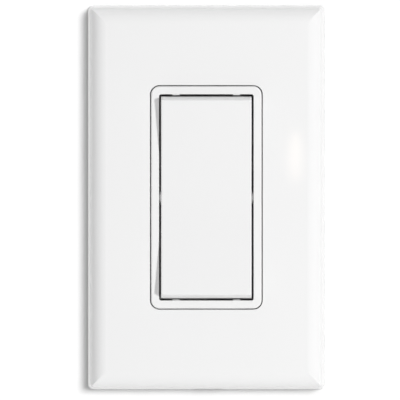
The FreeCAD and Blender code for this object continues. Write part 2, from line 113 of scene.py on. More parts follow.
# %% [markdown]
# ## The skin of moulded plastic
# Almost everything here is injection moulded. Such a skin is never one flat colour: the melt leaves slow,
# very faint clouds in the tint and the gloss, and the tool's fine erosion leaves a grain that can be felt
# rather than seen. An image could carry this, but noise on Object coordinates is sharp at any distance and
# needs no unwrap. The group gives a colour, a roughness and a height, and each plastic sets its own strength.
# Noise sways tint and gloss in the same way on plastic and on metal, so that part is a helper.


# %% Moulded skin group
skin_outputs = [("Color", "Color"), ("Roughness", "Float"), ("Height", "Float")]


def sway_tint_and_gloss(group, given, result, noise, tint_swing, gloss_swing):
    """Let a noise shift the tint and the roughness to either side of the values given."""
    sway = reckon(group, "SUBTRACT", noise, 0.5)
    shade = reckon(group, "MULTIPLY_ADD", sway, tint_swing, 1.0)
    tint = put(group, "ShaderNodeVectorMath", {0: given["Tint"], "Scale": shade}, operation="SCALE")
    dull = reckon(group, "MULTIPLY_ADD", sway, gloss_swing, given["Gloss Roughness"])
    group.links.new(tint.outputs["Vector"], result["Color"])
    group.links.new(dull, result["Roughness"])


def moulded_skin():
    clouds_per_metre, gloss_swing = 45.0, 0.12
    group, given, result = start_group("moulded skin", "ShaderNodeTree", [
        ("Tint", "Color", (0.8, 0.8, 0.8, 1.0)), ("Gloss Roughness", "Float", 0.3),
        ("Grain Scale", "Float", 3000.0), ("Cloud", "Float", 0.02),
    ], skin_outputs)
    place = put(group, "ShaderNodeTexCoord").outputs["Object"]
    grain = put(group, "ShaderNodeTexNoise", {
        "Vector": place, "Scale": given["Grain Scale"], "Detail": 2.0}).outputs["Fac"]
    clouds = put(group, "ShaderNodeTexNoise", {
        "Vector": place, "Scale": clouds_per_metre, "Detail": 1.0, "Distortion": 0.5}).outputs["Fac"]
    sway_tint_and_gloss(group, given, result, clouds, given["Cloud"], gloss_swing)
    group.links.new(grain, result["Height"])
    return group


skin = moulded_skin()
print("group", skin.name)

# %% [markdown]
# ## The skin of rolled and drawn metal
# Strip and wire carry fine lines along the way they were rolled or drawn. Noise that is stretched along one
# axis gives those lines. The stretch is an input, so that each metal has its lines along its own length.


# %% Rolled metal group
def rolled_metal():
    tint_swing, gloss_swing = 0.25, 0.3
    group, given, result = start_group("rolled metal", "ShaderNodeTree", [
        ("Tint", "Color", (0.6, 0.6, 0.6, 1.0)), ("Gloss Roughness", "Float", 0.3),
        ("Stretch", "Vector", (400.0, 8000.0, 8000.0)),
    ], skin_outputs)
    place = put(group, "ShaderNodeTexCoord").outputs["Object"]
    drawn = put(group, "ShaderNodeVectorMath", {0: place, 1: given["Stretch"]}, operation="MULTIPLY")
    lines = put(group, "ShaderNodeTexNoise", {
        "Vector": drawn.outputs["Vector"], "Scale": 1.0, "Detail": 3.0}).outputs["Fac"]
    sway_tint_and_gloss(group, given, result, lines, tint_swing, gloss_swing)
    group.links.new(lines, result["Height"])
    return group


metal_skin = rolled_metal()
print("group", metal_skin.name)

# %% [markdown]
# ## From a skin to a material
# Each material places one of the two groups, feeds the Principled shader's colour and roughness from it, and
# turns its height into a normal with a Bump node. Whatever is the same all over, such as how metallic the
# surface is, is set on the shader itself. The grain's depth is in metres, so three thousandths of a
# millimetre are 3e-6.


# %% Material makers
def dress(name, group, values, depth, metallic=0.0):
    """A material made from a skin group, with its Principled shader and the group node."""
    material = bpy.data.materials.new(name)
    material.use_nodes = True
    tree = material.node_tree
    shader = tree.nodes["Principled BSDF"]
    shader.inputs["Metallic"].default_value = metallic
    surface = put(tree, "ShaderNodeGroup", values, node_tree=group)
    bump = put(tree, "ShaderNodeBump", {"Height": surface.outputs["Height"], "Distance": depth})
    fill(tree, shader, {
        "Base Color": surface.outputs["Color"], "Roughness": surface.outputs["Roughness"],
        "Normal": bump.outputs["Normal"]})
    return material, shader, surface


def plastic(name, tint, roughness, grain_mm, depth, cloud):
    values = {"Tint": (*tint, 1.0), "Gloss Roughness": roughness, "Grain Scale": 1 / (grain_mm * MM),
              "Cloud": cloud}
    return dress(name, skin, values, depth)[0]


def metal(name, tint, roughness, stretch, depth=1e-6):
    values = {"Tint": (*tint, 1.0), "Gloss Roughness": roughness, "Stretch": stretch}
    return dress(name, metal_skin, values, depth, metallic=1.0)[0]


print("material makers ready")

# %% [markdown]
# ## The white outer plastics
# The cover plate is the glossiest piece, the rocker and the bezel are a little duller, and the back plate,
# which only the wall sees, is left as dull as the tool made it. All the whites are close to neutral. A
# moulded gloss still shows a faint orange peel, so the plate has a coarse but very shallow grain, and the
# rocker a finer and deeper one. The values are the tint, the roughness, the grain's size in millimetres and
# depth in metres, and the strength of the clouds.

# %% White plastics
plate_white = plastic("plate plastic", (0.88, 0.88, 0.88), 0.11, 1.6, 0.4e-6, 0.01)
bezel_white = plastic("bezel plastic", (0.88, 0.88, 0.878), 0.32, 0.5, 2e-6, 0.01)
rocker_white = plastic("rocker plastic", (0.87, 0.87, 0.87), 0.36, 0.3, 2e-6, 0.01)
back_white = plastic("back plastic", (0.79, 0.79, 0.78), 0.62, 0.25, 6e-6, 0.04)
print("made", plate_white.name, bezel_white.name, rocker_white.name, back_white.name, sep=", ")

# %% [markdown]
# ## The plastics and metals of the mechanism
# Nobody sees these in use, but a part that is taken apart should still read as what it is: a grey tray, a
# black lever and coil former, bright zinc on the screws, blue-grey spring strip, soft iron, and a dark
# sintered magnet. A metal's three stretch values are the lines to a metre along each axis, so a low one is
# the way it was rolled, and three equal ones give an even grain.

# %% Mechanism finishes
module_grey = plastic("module plastic", (0.3, 0.31, 0.32), 0.5, 0.3, 5e-6, 0.06)
bow_black = plastic("lever plastic", (0.05, 0.05, 0.053), 0.45, 0.3, 5e-6, 0.1)
screw_zinc = metal("screw zinc", (0.66, 0.67, 0.68), 0.3, (2500.0, 2500.0, 2500.0))
pin_steel = metal("pin steel", (0.62, 0.62, 0.62), 0.22, (300.0, 9000.0, 9000.0))
spring_steel = metal("spring steel", (0.52, 0.54, 0.57), 0.26, (250.0, 9000.0, 9000.0))
core_iron = metal("core iron", (0.45, 0.44, 0.43), 0.42, (6000.0, 6000.0, 500.0))
magnet_dark = metal("magnet sinter", (0.11, 0.11, 0.12), 0.55, (5000.0, 5000.0, 5000.0), 4e-6)
contact_tin = metal("contact tin", (0.75, 0.73, 0.69), 0.3, (3000.0, 3000.0, 3000.0))
wire_copper = metal("coil copper", (0.76, 0.33, 0.14), 0.28, (900.0, 5000.0, 5000.0))
print("made", module_grey.name, bow_black.name, "and seven metals")

# %% [markdown]
# ## The radio board and its parts
# A circuit board is a green lacquer over copper tracks, which show paler. A brick pattern with long bricks
# of uneven length gives such a field of straight tracks. The storage capacitors are tan ceramic blocks with
# tinned ends, and the ends are a mask on the distance from the block's middle, read from Object coordinates.


# %% Board, chip and capacitor finishes
def cover(tree, shader, surface, mask, colour):
    """Let another colour cover the skin's own where the mask is one."""
    tint = put(tree, "ShaderNodeMix", {"Factor": mask}, data_type="RGBA")
    fill(tree, tint, {"A": surface.outputs["Color"], "B": colour})
    tree.links.new(tint.outputs["Result"], shader.inputs["Base Color"])


def board_lacquer():
    track_width, track_pitch, track_length = 0.11 * MM, 0.65 * MM, 9.3 * MM
    material, shader, surface = dress("board lacquer", skin, {
        "Tint": (0.02, 0.17, 0.06, 1.0), "Gloss Roughness": 0.34, "Grain Scale": 4000.0, "Cloud": 0.15,
    }, 3e-6)
    tree = material.node_tree
    place = put(tree, "ShaderNodeTexCoord").outputs["Object"]
    turned = put(tree, "ShaderNodeMapping", {"Vector": place, "Rotation": (math.pi / 2, 0.0, 0.0)})
    tracks = put(tree, "ShaderNodeTexBrick", {
        "Vector": turned.outputs["Vector"], "Scale": 1.0, "Mortar Size": track_width, "Mortar Smooth": 0.2,
        "Brick Width": track_length, "Row Height": track_pitch,
    }, offset=0.31, squash=0.45, squash_frequency=3)
    cover(tree, shader, surface, tracks.outputs["Fac"], (0.06, 0.32, 0.12, 1.0))
    return material


def capacitor_body():
    tinned_length = 0.6 * MM
    material, shader, surface = dress("capacitor ceramic", skin, {
        "Tint": (0.48, 0.33, 0.19, 1.0), "Gloss Roughness": 0.4, "Grain Scale": 5000.0, "Cloud": 0.2,
    }, 3e-6)
    tree = material.node_tree
    low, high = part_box("storage_capacitors")
    place = put(tree, "ShaderNodeTexCoord").outputs["Object"]
    across = put(tree, "ShaderNodeSeparateXYZ", {"Vector": place}).outputs["X"]
    off_middle = reckon(tree, "SUBTRACT", across, (low.x + high.x) / 2)
    reach = reckon(tree, "ABSOLUTE", off_middle)
    tinned = reckon(tree, "GREATER_THAN", reach, (high.x - low.x) / 2 - tinned_length)
    cover(tree, shader, surface, tinned, (0.72, 0.7, 0.66, 1.0))
    tree.links.new(tinned, shader.inputs["Metallic"])
    return material


board_green = board_lacquer()
ceramic = capacitor_body()
chip_black = plastic("chip epoxy", (0.022, 0.022, 0.024), 0.5, 0.12, 4e-6, 0.15)
print("made", board_green.name, ceramic.name, chip_black.name, sep=", ")

# %% [markdown]
# ## Putting the finishes on the solids
# A CAD piece keeps its own mesh and only swaps the material in its slot.

# %% Dress the CAD pieces
finishes = {
    plate_white: ["wall_plate"], bezel_white: ["bezel_frame"], rocker_white: ["rocker"],
    back_white: ["back_plate"], module_grey: ["module_base", "radio_cover"],
    bow_black: ["energy_bow", "coil_bobbin"], screw_zinc: ["bezel_screws"], pin_steel: ["bow_pivot_pins"],
    spring_steel: ["centring_springs"], core_iron: ["armature", "coil_core"], magnet_dark: ["magnet"],
    wire_copper: ["coil_winding"], contact_tin: ["coil_terminals", "crystal", "antenna"],
    board_green: ["circuit_board"], chip_black: ["radio_chip", "rectifier"], ceramic: ["storage_capacitors"],
}
for material, names in finishes.items():
    for name in names:
        nodes[name].material_slots[0].material = material
print("dressed", sum(map(len, finishes.values())), "of", len(nodes))

# %% [markdown]
# ## Soft edges on the inner pieces
# No moulded or stamped piece has knife edges: a mould is never quite sharp, and a stamping is tumbled. The
# inner solids are kept light and have sharp edges, so two modifiers finish them. A Weld joins the solid's
# loose triangles, and a Bevel rounds every edge that turns by more than thirty degrees, by as much as suits
# the piece. The rounds are in millimetres.

# %% Round the edges
edge_rounds = {
    "crystal": 0.25, "energy_bow": 0.2, "radio_cover": 0.15, "module_base": 0.12, "storage_capacitors": 0.12,
    "armature": 0.1, "coil_core": 0.1, "coil_bobbin": 0.08, "magnet": 0.08, "radio_chip": 0.08,
    "rectifier": 0.08, "coil_terminals": 0.06, "antenna": 0.05, "circuit_board": 0.05,
}
join_within = 0.001 * MM
least_turn = math.radians(30)
for name, width in edge_rounds.items():
    weld = nodes[name].modifiers.new("joined triangles", "WELD")
    weld.merge_threshold = join_within
    bevel = nodes[name].modifiers.new("edge round", "BEVEL")
    bevel.width = width * MM
    bevel.segments = 2
    bevel.limit_method = "ANGLE"
    bevel.angle_limit = least_turn
    bevel.harden_normals = True
print("rounded the edges of", len(edge_rounds), "pieces")

# %% [markdown]
# ## From a Geometry Nodes tree to a plain piece
# Whatever repeats or follows a path is made by a tree with named sizes. The tree needs an object to run on,
# so an empty mesh carries it for a moment. Its result is copied to a plain mesh, which is what the exported
# model needs. A tree ends by smoothing all but the edges that turn sharply, given here in radians.


# %% Tree to piece
sharp_turn = 0.8


def close_tree(tree, geometry, material, result):
    """End a tree: real geometry, smooth but for its sharp edges, with its material."""
    whole = put(tree, "GeometryNodeRealizeInstances", {"Geometry": geometry}).outputs["Geometry"]
    smooth = put(tree, "GeometryNodeSetShadeSmooth", {"Geometry": whole}).outputs["Geometry"]
    angle = put(tree, "GeometryNodeInputMeshEdgeAngle").outputs["Unsigned Angle"]
    gentle = put(tree, "FunctionNodeCompare", {"A": angle, "B": sharp_turn}, operation="LESS_THAN")
    shaded = put(tree, "GeometryNodeSetShadeSmooth", {
        "Geometry": smooth, "Shade Smooth": gentle.outputs["Result"]}, domain="EDGE").outputs["Geometry"]
    coated = put(tree, "GeometryNodeSetMaterial", {"Geometry": shaded, "Material": material})
    tree.links.new(coated.outputs["Geometry"], result["Geometry"])


def face_front(tree, geometry, place):
    """Turn what was built upwards so that its top faces the front, and move it to its place."""
    return put(tree, "GeometryNodeTransform", {
        "Geometry": geometry, "Translation": place, "Rotation": (math.pi / 2, 0.0, 0.0)}).outputs["Geometry"]


def turn_faces_out(mesh):
    work = bmesh.new()
    work.from_mesh(mesh)
    bmesh.ops.recalc_face_normals(work, faces=work.faces)
    work.to_mesh(mesh)
    work.free()


def settle(tree, name, sizes):
    """Run a tree with these sizes and keep its result as one plain piece."""
    carrier = bpy.data.objects.new(name + "_carrier", bpy.data.meshes.new(name + "_carrier"))
    bpy.context.scene.collection.objects.link(carrier)
    modifier = carrier.modifiers.new("tree", "NODES")
    modifier.node_group = tree
    keys = {item.name: item.identifier for item in tree.interface.items_tree if item.in_out == "INPUT"}
    for title, value in sizes.items():
        modifier[keys[title]] = value
    ready = carrier.evaluated_get(bpy.context.evaluated_depsgraph_get())
    piece = bpy.data.objects.new(name, bpy.data.meshes.new_from_object(ready))
    bpy.context.scene.collection.objects.link(piece)
    bpy.data.objects.remove(carrier)
    turn_faces_out(piece.data)
    print(name, len(piece.data.polygons), "faces")
    return piece


# %% [markdown]
# ## The coil's wire
# The generator's coil is a few hundred turns of thin enamelled wire on a flat former. Only the outer layer
# shows, so one layer is wound: a spiral of radius one is squeezed into a rounded rectangle by raising its
# sine and cosine to a small power, and a round section follows it. A stack of rings would be simpler, but a
# real winding climbs.


# %% Wind the coil
def wire_tree():
    steps_a_turn, wire_sides, corner_power = 24, 6, 0.35
    tree, given, result = start_group("coil wire", "GeometryNodeTree", [
        ("Half Width", "Float", 0.004), ("Half Depth", "Float", 0.0016), ("Length", "Float", 0.019),
        ("Turns", "Float", 70.0), ("Wire Radius", "Float", 0.00012), ("Centre", "Vector", (0.0, 0.0, 0.0)),
    ], [("Geometry", "Geometry")])
    spiral = put(tree, "GeometryNodeCurveSpiral", {
        "Resolution": steps_a_turn, "Rotations": given["Turns"], "Start Radius": 1.0, "End Radius": 1.0,
        "Height": given["Length"]}).outputs["Curve"]
    place = put(tree, "GeometryNodeInputPosition").outputs["Position"]
    on_spiral = put(tree, "ShaderNodeSeparateXYZ", {"Vector": place}).outputs
    sides = {}
    for axis, half in (("X", "Half Width"), ("Y", "Half Depth")):
        size = reckon(tree, "ABSOLUTE", on_spiral[axis])
        flattened = reckon(tree, "POWER", size, corner_power)
        sign = reckon(tree, "SIGN", on_spiral[axis])
        reach = reckon(tree, "SUBTRACT", given[half], given["Wire Radius"])
        sides[axis] = reckon(tree, "MULTIPLY", reckon(tree, "MULTIPLY", flattened, sign), reach)
    wound = put(tree, "GeometryNodeSetPosition", {
        "Geometry": spiral, "Position": at(tree, **sides, Z=on_spiral["Z"])}).outputs["Geometry"]
    section = put(tree, "GeometryNodeCurvePrimitiveCircle", {
        "Resolution": wire_sides, "Radius": given["Wire Radius"]}).outputs["Curve"]
    wire = put(tree, "GeometryNodeCurveToMesh", {
        "Curve": wound, "Profile Curve": section, "Fill Caps": True}).outputs["Mesh"]
    moved = put(tree, "GeometryNodeTransform", {"Geometry": wire, "Translation": given["Centre"]})
    close_tree(tree, moved.outputs["Geometry"], wire_copper, result)
    return tree


low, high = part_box("coil_winding")
wire_radius = 0.12 * MM
winding_length = high.z - low.z - 2 * wire_radius
coil_wire = settle(wire_tree(), "coil_wire", {
    "Half Width": (high.x - low.x) / 2, "Half Depth": (high.y - low.y) / 2, "Length": winding_length,
    "Turns": round(winding_length / (2 * wire_radius)), "Wire Radius": wire_radius,
    "Centre": ((low.x + high.x) / 2, (low.y + high.y) / 2, low.z + wire_radius),
})
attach(coil_wire, "switch_body")
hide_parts("coil_winding")

# %% [markdown]
# ## The leaf springs
# Two arched leaves of spring strip push the lever back to level. When the lever tips, one is pressed flat
# and the other rises, which a stiff solid can't show. So each leaf is a strip along an arc with many steps,
# made here in its resting shape.


# %% Arch the leaf springs
def leaf_tree():
    points_along = 49
    tree, given, result = start_group("leaf spring", "GeometryNodeTree", [
        ("Half Span", "Float", 0.0084), ("Foot", "Float", 0.003), ("Crest", "Float", 0.005),
        ("Leaf Width", "Float", 0.0018), ("Leaf Thickness", "Float", 0.00025), ("Spacing", "Float", 0.03),
    ], [("Geometry", "Geometry")])
    far_left = reckon(tree, "MULTIPLY", given["Half Span"], -1.0)
    arch = put(tree, "GeometryNodeCurveArc", {
        "Resolution": points_along, "Start": at(tree, X=far_left, Z=given["Foot"]),
        "Middle": at(tree, Z=given["Crest"]), "End": at(tree, X=given["Half Span"], Z=given["Foot"]),
    }, mode="POINTS").outputs["Curve"]
    level = put(tree, "GeometryNodeSetCurveNormal", {"Curve": arch}, mode="Z_UP").outputs["Curve"]
    strip = put(tree, "GeometryNodeCurvePrimitiveQuadrilateral", {
        "Width": given["Leaf Width"], "Height": given["Leaf Thickness"]}, mode="RECTANGLE").outputs["Curve"]
    leaf = put(tree, "GeometryNodeCurveToMesh", {
        "Curve": level, "Profile Curve": strip, "Fill Caps": True}).outputs["Mesh"]
    lower = reckon(tree, "MULTIPLY", given["Spacing"], -0.5)
    places = put(tree, "GeometryNodeMeshLine", {
        "Count": 2, "Start Location": at(tree, Y=lower), "Offset": at(tree, Y=given["Spacing"]),
    }, mode="OFFSET").outputs["Mesh"]
    pair = put(tree, "GeometryNodeInstanceOnPoints", {"Points": places, "Instance": leaf})
    close_tree(tree, face_front(tree, pair.outputs["Instances"], (0.0, 0.0, 0.0)), spring_steel, result)
    return tree


low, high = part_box("centring_springs")
leaf_width, leaf_thickness = 1.8 * MM, 0.25 * MM
foot_height = 0.52 * leaf_thickness
leaf_springs = settle(leaf_tree(), "leaf_springs", {
    "Half Span": (high.x - low.x - leaf_thickness) / 2, "Foot": -high.y + foot_height,
    "Crest": -low.y - leaf_thickness / 2, "Leaf Width": leaf_width, "Leaf Thickness": leaf_thickness,
    "Spacing": high.z - low.z - leaf_width,
})
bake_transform(leaf_springs)
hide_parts("centring_springs")

# %% [markdown]
# ## The four screws
# The solids hold plain pins with a flat head. A real screw is turned: a blank with a head and a point is cut
# on the lathe, the cross is punched into the head, and the thread is rolled on. The tree follows that order.
# A straight curve with a radius at each station makes the blank, two crossed bars are cut from its head, and
# a spiral with a square section on edge is the thread. The screws stand on a grid of two by two, and each
# stops at its own angle.


# %% Turn the blank
def turned_blank(tree, stations, sides):
    """A solid of revolution about Z from stations of a height and a radius."""
    line = put(tree, "GeometryNodeCurvePrimitiveLine").outputs["Curve"]
    points = put(tree, "GeometryNodeResampleCurve", {"Curve": line, "Count": len(stations)}).outputs["Curve"]
    number = put(tree, "GeometryNodeInputIndex").outputs["Index"]
    chosen = []
    for values in zip(*stations):
        pick = put(tree, "GeometryNodeIndexSwitch", {"Index": number}, data_type="FLOAT")
        for _ in values[2:]:
            pick.index_switch_items.new()
        fill(tree, pick, dict(enumerate(values, start=1)))
        chosen.append(pick.outputs[0])
    height, radius = chosen
    axis = put(tree, "GeometryNodeSetPosition", {"Geometry": points, "Position": at(tree, Z=height)})
    circle = put(tree, "GeometryNodeCurvePrimitiveCircle", {"Resolution": sides, "Radius": 1.0})
    return put(tree, "GeometryNodeCurveToMesh", {
        "Curve": axis.outputs["Geometry"], "Profile Curve": circle.outputs["Curve"], "Scale": radius,
        "Fill Caps": True}).outputs["Mesh"]


print("lathe ready")


# %% Punch, thread and place the screws
def punched_head(tree, blank, given):
    """Cut the cross from the top of a blank."""
    bar_size = at(tree, X=given["Cross Length"], Y=given["Cross Width"], Z=given["Head Height"])
    bar = put(tree, "GeometryNodeMeshCube", {"Size": bar_size}).outputs["Mesh"]
    top = at(tree, Z=given["Length"])
    punched = put(tree, "GeometryNodeMeshBoolean", {"Mesh 1": blank}, operation="DIFFERENCE", solver="EXACT")
    for turn in (0.0, math.pi / 2):
        arm = put(tree, "GeometryNodeTransform", {
            "Geometry": bar, "Translation": top, "Rotation": (0.0, 0.0, turn)})
        tree.links.new(arm.outputs["Geometry"], punched.inputs["Mesh 2"])
    return punched.outputs["Mesh"]


def rolled_thread(tree, length, given, sides):
    """A ridge that climbs round the core, from one core radius above the tip."""
    core = given["Core Radius"]
    spiral = put(tree, "GeometryNodeCurveSpiral", {
        "Resolution": sides, "Rotations": reckon(tree, "DIVIDE", length, given["Pitch"]),
        "Start Radius": core, "End Radius": core, "Height": length}).outputs["Curve"]
    level = put(tree, "GeometryNodeSetCurveNormal", {"Curve": spiral}, mode="Z_UP").outputs["Curve"]
    ridge = put(tree, "GeometryNodeCurvePrimitiveCircle", {"Resolution": 4, "Radius": given["Thread Depth"]})
    thread = put(tree, "GeometryNodeCurveToMesh", {
        "Curve": level, "Profile Curve": ridge.outputs["Curve"], "Fill Caps": True}).outputs["Mesh"]
    return put(tree, "GeometryNodeTransform", {
        "Geometry": thread, "Translation": at(tree, Z=core)}).outputs["Geometry"]


def screw_tree():
    sides, stop_seed = 32, 5
    point_share, plain_share = 0.4, 1.6
    under_head_step = 0.01 * MM
    tree, given, result = start_group("bezel screw", "GeometryNodeTree", [
        ("Length", "Float", 0.0065), ("Head Radius", "Float", 0.0019), ("Head Height", "Float", 0.0013),
        ("Head Bevel", "Float", 0.0004), ("Core Radius", "Float", 0.00075),
        ("Thread Depth", "Float", 0.00024), ("Pitch", "Float", 0.0008),
        ("Cross Length", "Float", 0.0022), ("Cross Width", "Float", 0.0005),
        ("Spacing X", "Float", 0.04), ("Spacing Z", "Float", 0.052), ("Tip", "Vector", (0.0, -0.0011, 0.0)),
    ], [("Geometry", "Geometry")])
    core, length, head_radius = given["Core Radius"], given["Length"], given["Head Radius"]
    under_head = reckon(tree, "SUBTRACT", length, given["Head Height"])
    blank = turned_blank(tree, [
        (0.0, reckon(tree, "MULTIPLY", core, point_share)),
        (core, core),
        (under_head, core),
        (reckon(tree, "ADD", under_head, under_head_step), head_radius),
        (reckon(tree, "SUBTRACT", length, given["Head Bevel"]), head_radius),
        (length, reckon(tree, "SUBTRACT", head_radius, given["Head Bevel"])),
    ], sides)
    thread_length = reckon(tree, "SUBTRACT", under_head, reckon(tree, "MULTIPLY", core, plain_share))
    screw = put(tree, "GeometryNodeJoinGeometry", {"Geometry": punched_head(tree, blank, given)})
    tree.links.new(rolled_thread(tree, thread_length, given, sides), screw.inputs["Geometry"])
    places = put(tree, "GeometryNodeMeshGrid", {
        "Size X": given["Spacing X"], "Size Y": given["Spacing Z"], "Vertices X": 2, "Vertices Y": 2})
    stop = put(tree, "FunctionNodeRandomValue", {
        "Min": 0.0, "Max": math.pi / 2, "Seed": stop_seed}, data_type="FLOAT").outputs["Value"]
    turn = put(tree, "FunctionNodeEulerToRotation", {"Euler": at(tree, Z=stop)}).outputs["Rotation"]
    driven = put(tree, "GeometryNodeInstanceOnPoints", {
        "Points": places.outputs["Mesh"], "Instance": screw.outputs["Geometry"], "Rotation": turn})
    close_tree(tree, face_front(tree, driven.outputs["Instances"], given["Tip"]), screw_zinc, result)
    return tree


low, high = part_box("bezel_screws")
head_radius = 1.9 * MM
cross_screws = settle(screw_tree(), "cross_screws", {
    "Length": high.y - low.y, "Head Radius": head_radius, "Tip": (0.0, high.y, 0.0),
    "Spacing X": high.x - low.x - 2 * head_radius, "Spacing Z": high.z - low.z - 2 * head_radius,
})
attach(cross_screws, "switch_body")
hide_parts("bezel_screws")

# %% [markdown]
# ## The chips' legs
# A chip stands on thin tinned legs, bent down to the board and out like a gull's wing. One leg is a flat
# strip that follows a curve with an S in it. A line of points carries a row of legs, and the second row is
# the first one turned round. The radio chip and the rectifier have different numbers of legs, so the number
# and the pitch are inputs.


# %% Bend the legs
def leg_tree():
    bend_steps, shoulder_pull, foot_pull = 12, 0.7, 0.2
    tree, given, result = start_group("chip legs", "GeometryNodeTree", [
        ("Half Body", "Float", 0.0025), ("Reach", "Float", 0.0004), ("Shoulder", "Float", 0.0004),
        ("Legs", "Int", 8), ("Pitch", "Float", 0.0006), ("Strip Width", "Float", 0.00024),
        ("Strip Thickness", "Float", 0.0001), ("Foot", "Vector", (0.0, 0.0, 0.0)),
    ], [("Geometry", "Geometry")])
    reach, shoulder = given["Reach"], given["Shoulder"]
    sole = reckon(tree, "MULTIPLY", given["Strip Thickness"], 0.5)
    bend = put(tree, "GeometryNodeCurvePrimitiveBezierSegment", {
        "Resolution": bend_steps, "Start": at(tree, Z=shoulder),
        "Start Handle": at(tree, Y=reckon(tree, "MULTIPLY", reach, shoulder_pull), Z=shoulder),
        "End Handle": at(tree, Y=reckon(tree, "MULTIPLY", reach, foot_pull), Z=sole),
        "End": at(tree, Y=reach, Z=sole)}).outputs["Curve"]
    level = put(tree, "GeometryNodeSetCurveNormal", {"Curve": bend}, mode="Z_UP").outputs["Curve"]
    strip = put(tree, "GeometryNodeCurvePrimitiveQuadrilateral", {
        "Width": given["Strip Width"], "Height": given["Strip Thickness"]}, mode="RECTANGLE").outputs["Curve"]
    leg = put(tree, "GeometryNodeCurveToMesh", {
        "Curve": level, "Profile Curve": strip, "Fill Caps": True}).outputs["Mesh"]
    row_length = reckon(tree, "MULTIPLY", reckon(tree, "SUBTRACT", given["Legs"], 1.0), given["Pitch"])
    first_leg = at(tree, X=reckon(tree, "MULTIPLY", row_length, -0.5), Y=given["Half Body"])
    points = put(tree, "GeometryNodeMeshLine", {
        "Count": given["Legs"], "Start Location": first_leg, "Offset": at(tree, X=given["Pitch"]),
    }, mode="OFFSET").outputs["Mesh"]
    row = put(tree, "GeometryNodeInstanceOnPoints", {"Points": points, "Instance": leg}).outputs["Instances"]
    far_row = put(tree, "GeometryNodeTransform", {"Geometry": row, "Rotation": (0.0, 0.0, math.pi)})
    rows = put(tree, "GeometryNodeJoinGeometry", {"Geometry": row})
    tree.links.new(far_row.outputs["Geometry"], rows.inputs["Geometry"])
    close_tree(tree, face_front(tree, rows.outputs["Geometry"], given["Foot"]), contact_tin, result)
    return tree


leg_bender = leg_tree()
for chip, legs, pitch in (("radio_chip", 8, 0.6 * MM), ("rectifier", 2, 1.9 * MM)):
    low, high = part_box(chip)
    chip_legs = settle(leg_bender, chip + "_legs", {
        "Half Body": (high.z - low.z) / 2, "Shoulder": (high.y - low.y) / 2, "Legs": legs, "Pitch": pitch,
        "Foot": ((low.x + high.x) / 2, high.y, (low.z + high.z) / 2),
    })
    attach(chip_legs, "switch_body")

# %% [markdown]
# ## The wall behind
# The switch hangs on a white wall, which shows only by the soft shadow to the left of the plate and below
# it. The wall is a sheet just behind the back face, with an opening that the plate covers, as there is over
# a wall box. From behind the sheet lets the view through, so the back of the switch has light.
# The paint answers each kind of ray by itself. The camera sees the grey that gives the right shadow. Diffuse
# light gets back a little less, so that the plate's left edge keeps its shade. Gloss sees no lit paint but a
# painted reflection: each of the sheet's four strips glows with an even grey, which gives the plate's rims a
# clean line. The glow is dimmer on the left and below, as painted shade where the wall's shadow falls.


# %% Wall
def wall_sheet():
    """The sheet's corners, outer ones first, and its strips below, right, above and left of the opening."""
    half_width, behind, covered = 1.2, 0.2 * MM, 0.5 * MM
    plate_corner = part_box("wall_plate")[1]
    corners = []
    for x, z in ((half_width, half_width), (plate_corner.x - covered, plate_corner.z - covered)):
        corners += [(-x, behind, -z), (x, behind, -z), (x, behind, z), (-x, behind, z)]
    strips = [(i, (i + 1) % 4, (i + 1) % 4 + 4, i + 4) for i in range(4)]
    return corners, strips


def wall_paint(shown_grey, bounced_grey, painted_reflection_grey):
    paint = bpy.data.materials.new("wall paint")
    paint.use_nodes = True
    tree = paint.node_tree
    tree.nodes.clear()
    ray = put(tree, "ShaderNodeLightPath").outputs
    grey = put(tree, "ShaderNodeMapRange", {
        "Value": ray["Is Diffuse Ray"], "To Min": shown_grey, "To Max": bounced_grey}).outputs["Result"]
    painted = put(tree, "ShaderNodeBsdfDiffuse", {"Color": grey}).outputs["BSDF"]
    # For gloss the sheet glows: a painted reflection of the lit wall, not lit paint.
    painted_glow = put(tree, "ShaderNodeEmission", {"Strength": painted_reflection_grey}).outputs["Emission"]
    front = put(tree, "ShaderNodeMixShader", {0: ray["Is Glossy Ray"], 1: painted, 2: painted_glow})
    clear = put(tree, "ShaderNodeBsdfTransparent").outputs["BSDF"]
    back = put(tree, "ShaderNodeNewGeometry").outputs["Backfacing"]
    side = put(tree, "ShaderNodeMixShader", {0: back, 1: front.outputs["Shader"], 2: clear})
    put(tree, "ShaderNodeOutputMaterial", {"Surface": side.outputs["Shader"]})
    return paint


shown_grey, bounced_grey = 0.65, 0.45
# Painted reflection for each strip, dimmer on the left and below as painted shade where the wall's shadow
# falls.
painted_reflection_greys = {"below": 0.84, "right": 1.05, "above": 1.0, "left": 0.79}
corners, strips = wall_sheet()
wall = bpy.data.objects.new("wall", bpy.data.meshes.new("wall"))
wall.data.from_pydata(corners, [], strips)
for strip, painted_reflection_grey in zip(wall.data.polygons, painted_reflection_greys.values()):
    strip.material_index = strip.index
    wall.data.materials.append(wall_paint(shown_grey, bounced_grey, painted_reflection_grey))
bpy.context.scene.collection.objects.link(wall)
print("wall in strips", *painted_reflection_greys)

# %% [markdown]
# ## The room
# The photograph's greys tell what stands round the switch. The plate's rounded edges are hardly darker above
# and below than its face, so the room is bright there; the left edge is much greyer, so on that side there
# is only a dim panel; and nothing on the right is needed but the key lamp. The fill is therefore worked out
# from the direction: its height up or down, and a soft band to the left. What the camera sees past the wall
# is plain white, and what gloss mirrors is a little dimmer, so that the plate stands out from the backdrop.

# %% World
room_above_and_below = 0.9
panel_on_left = 0.6
panel_middle, panel_half_width = -0.5, 0.5
backdrop_strength = 1.0
mirrored_strength = 0.75


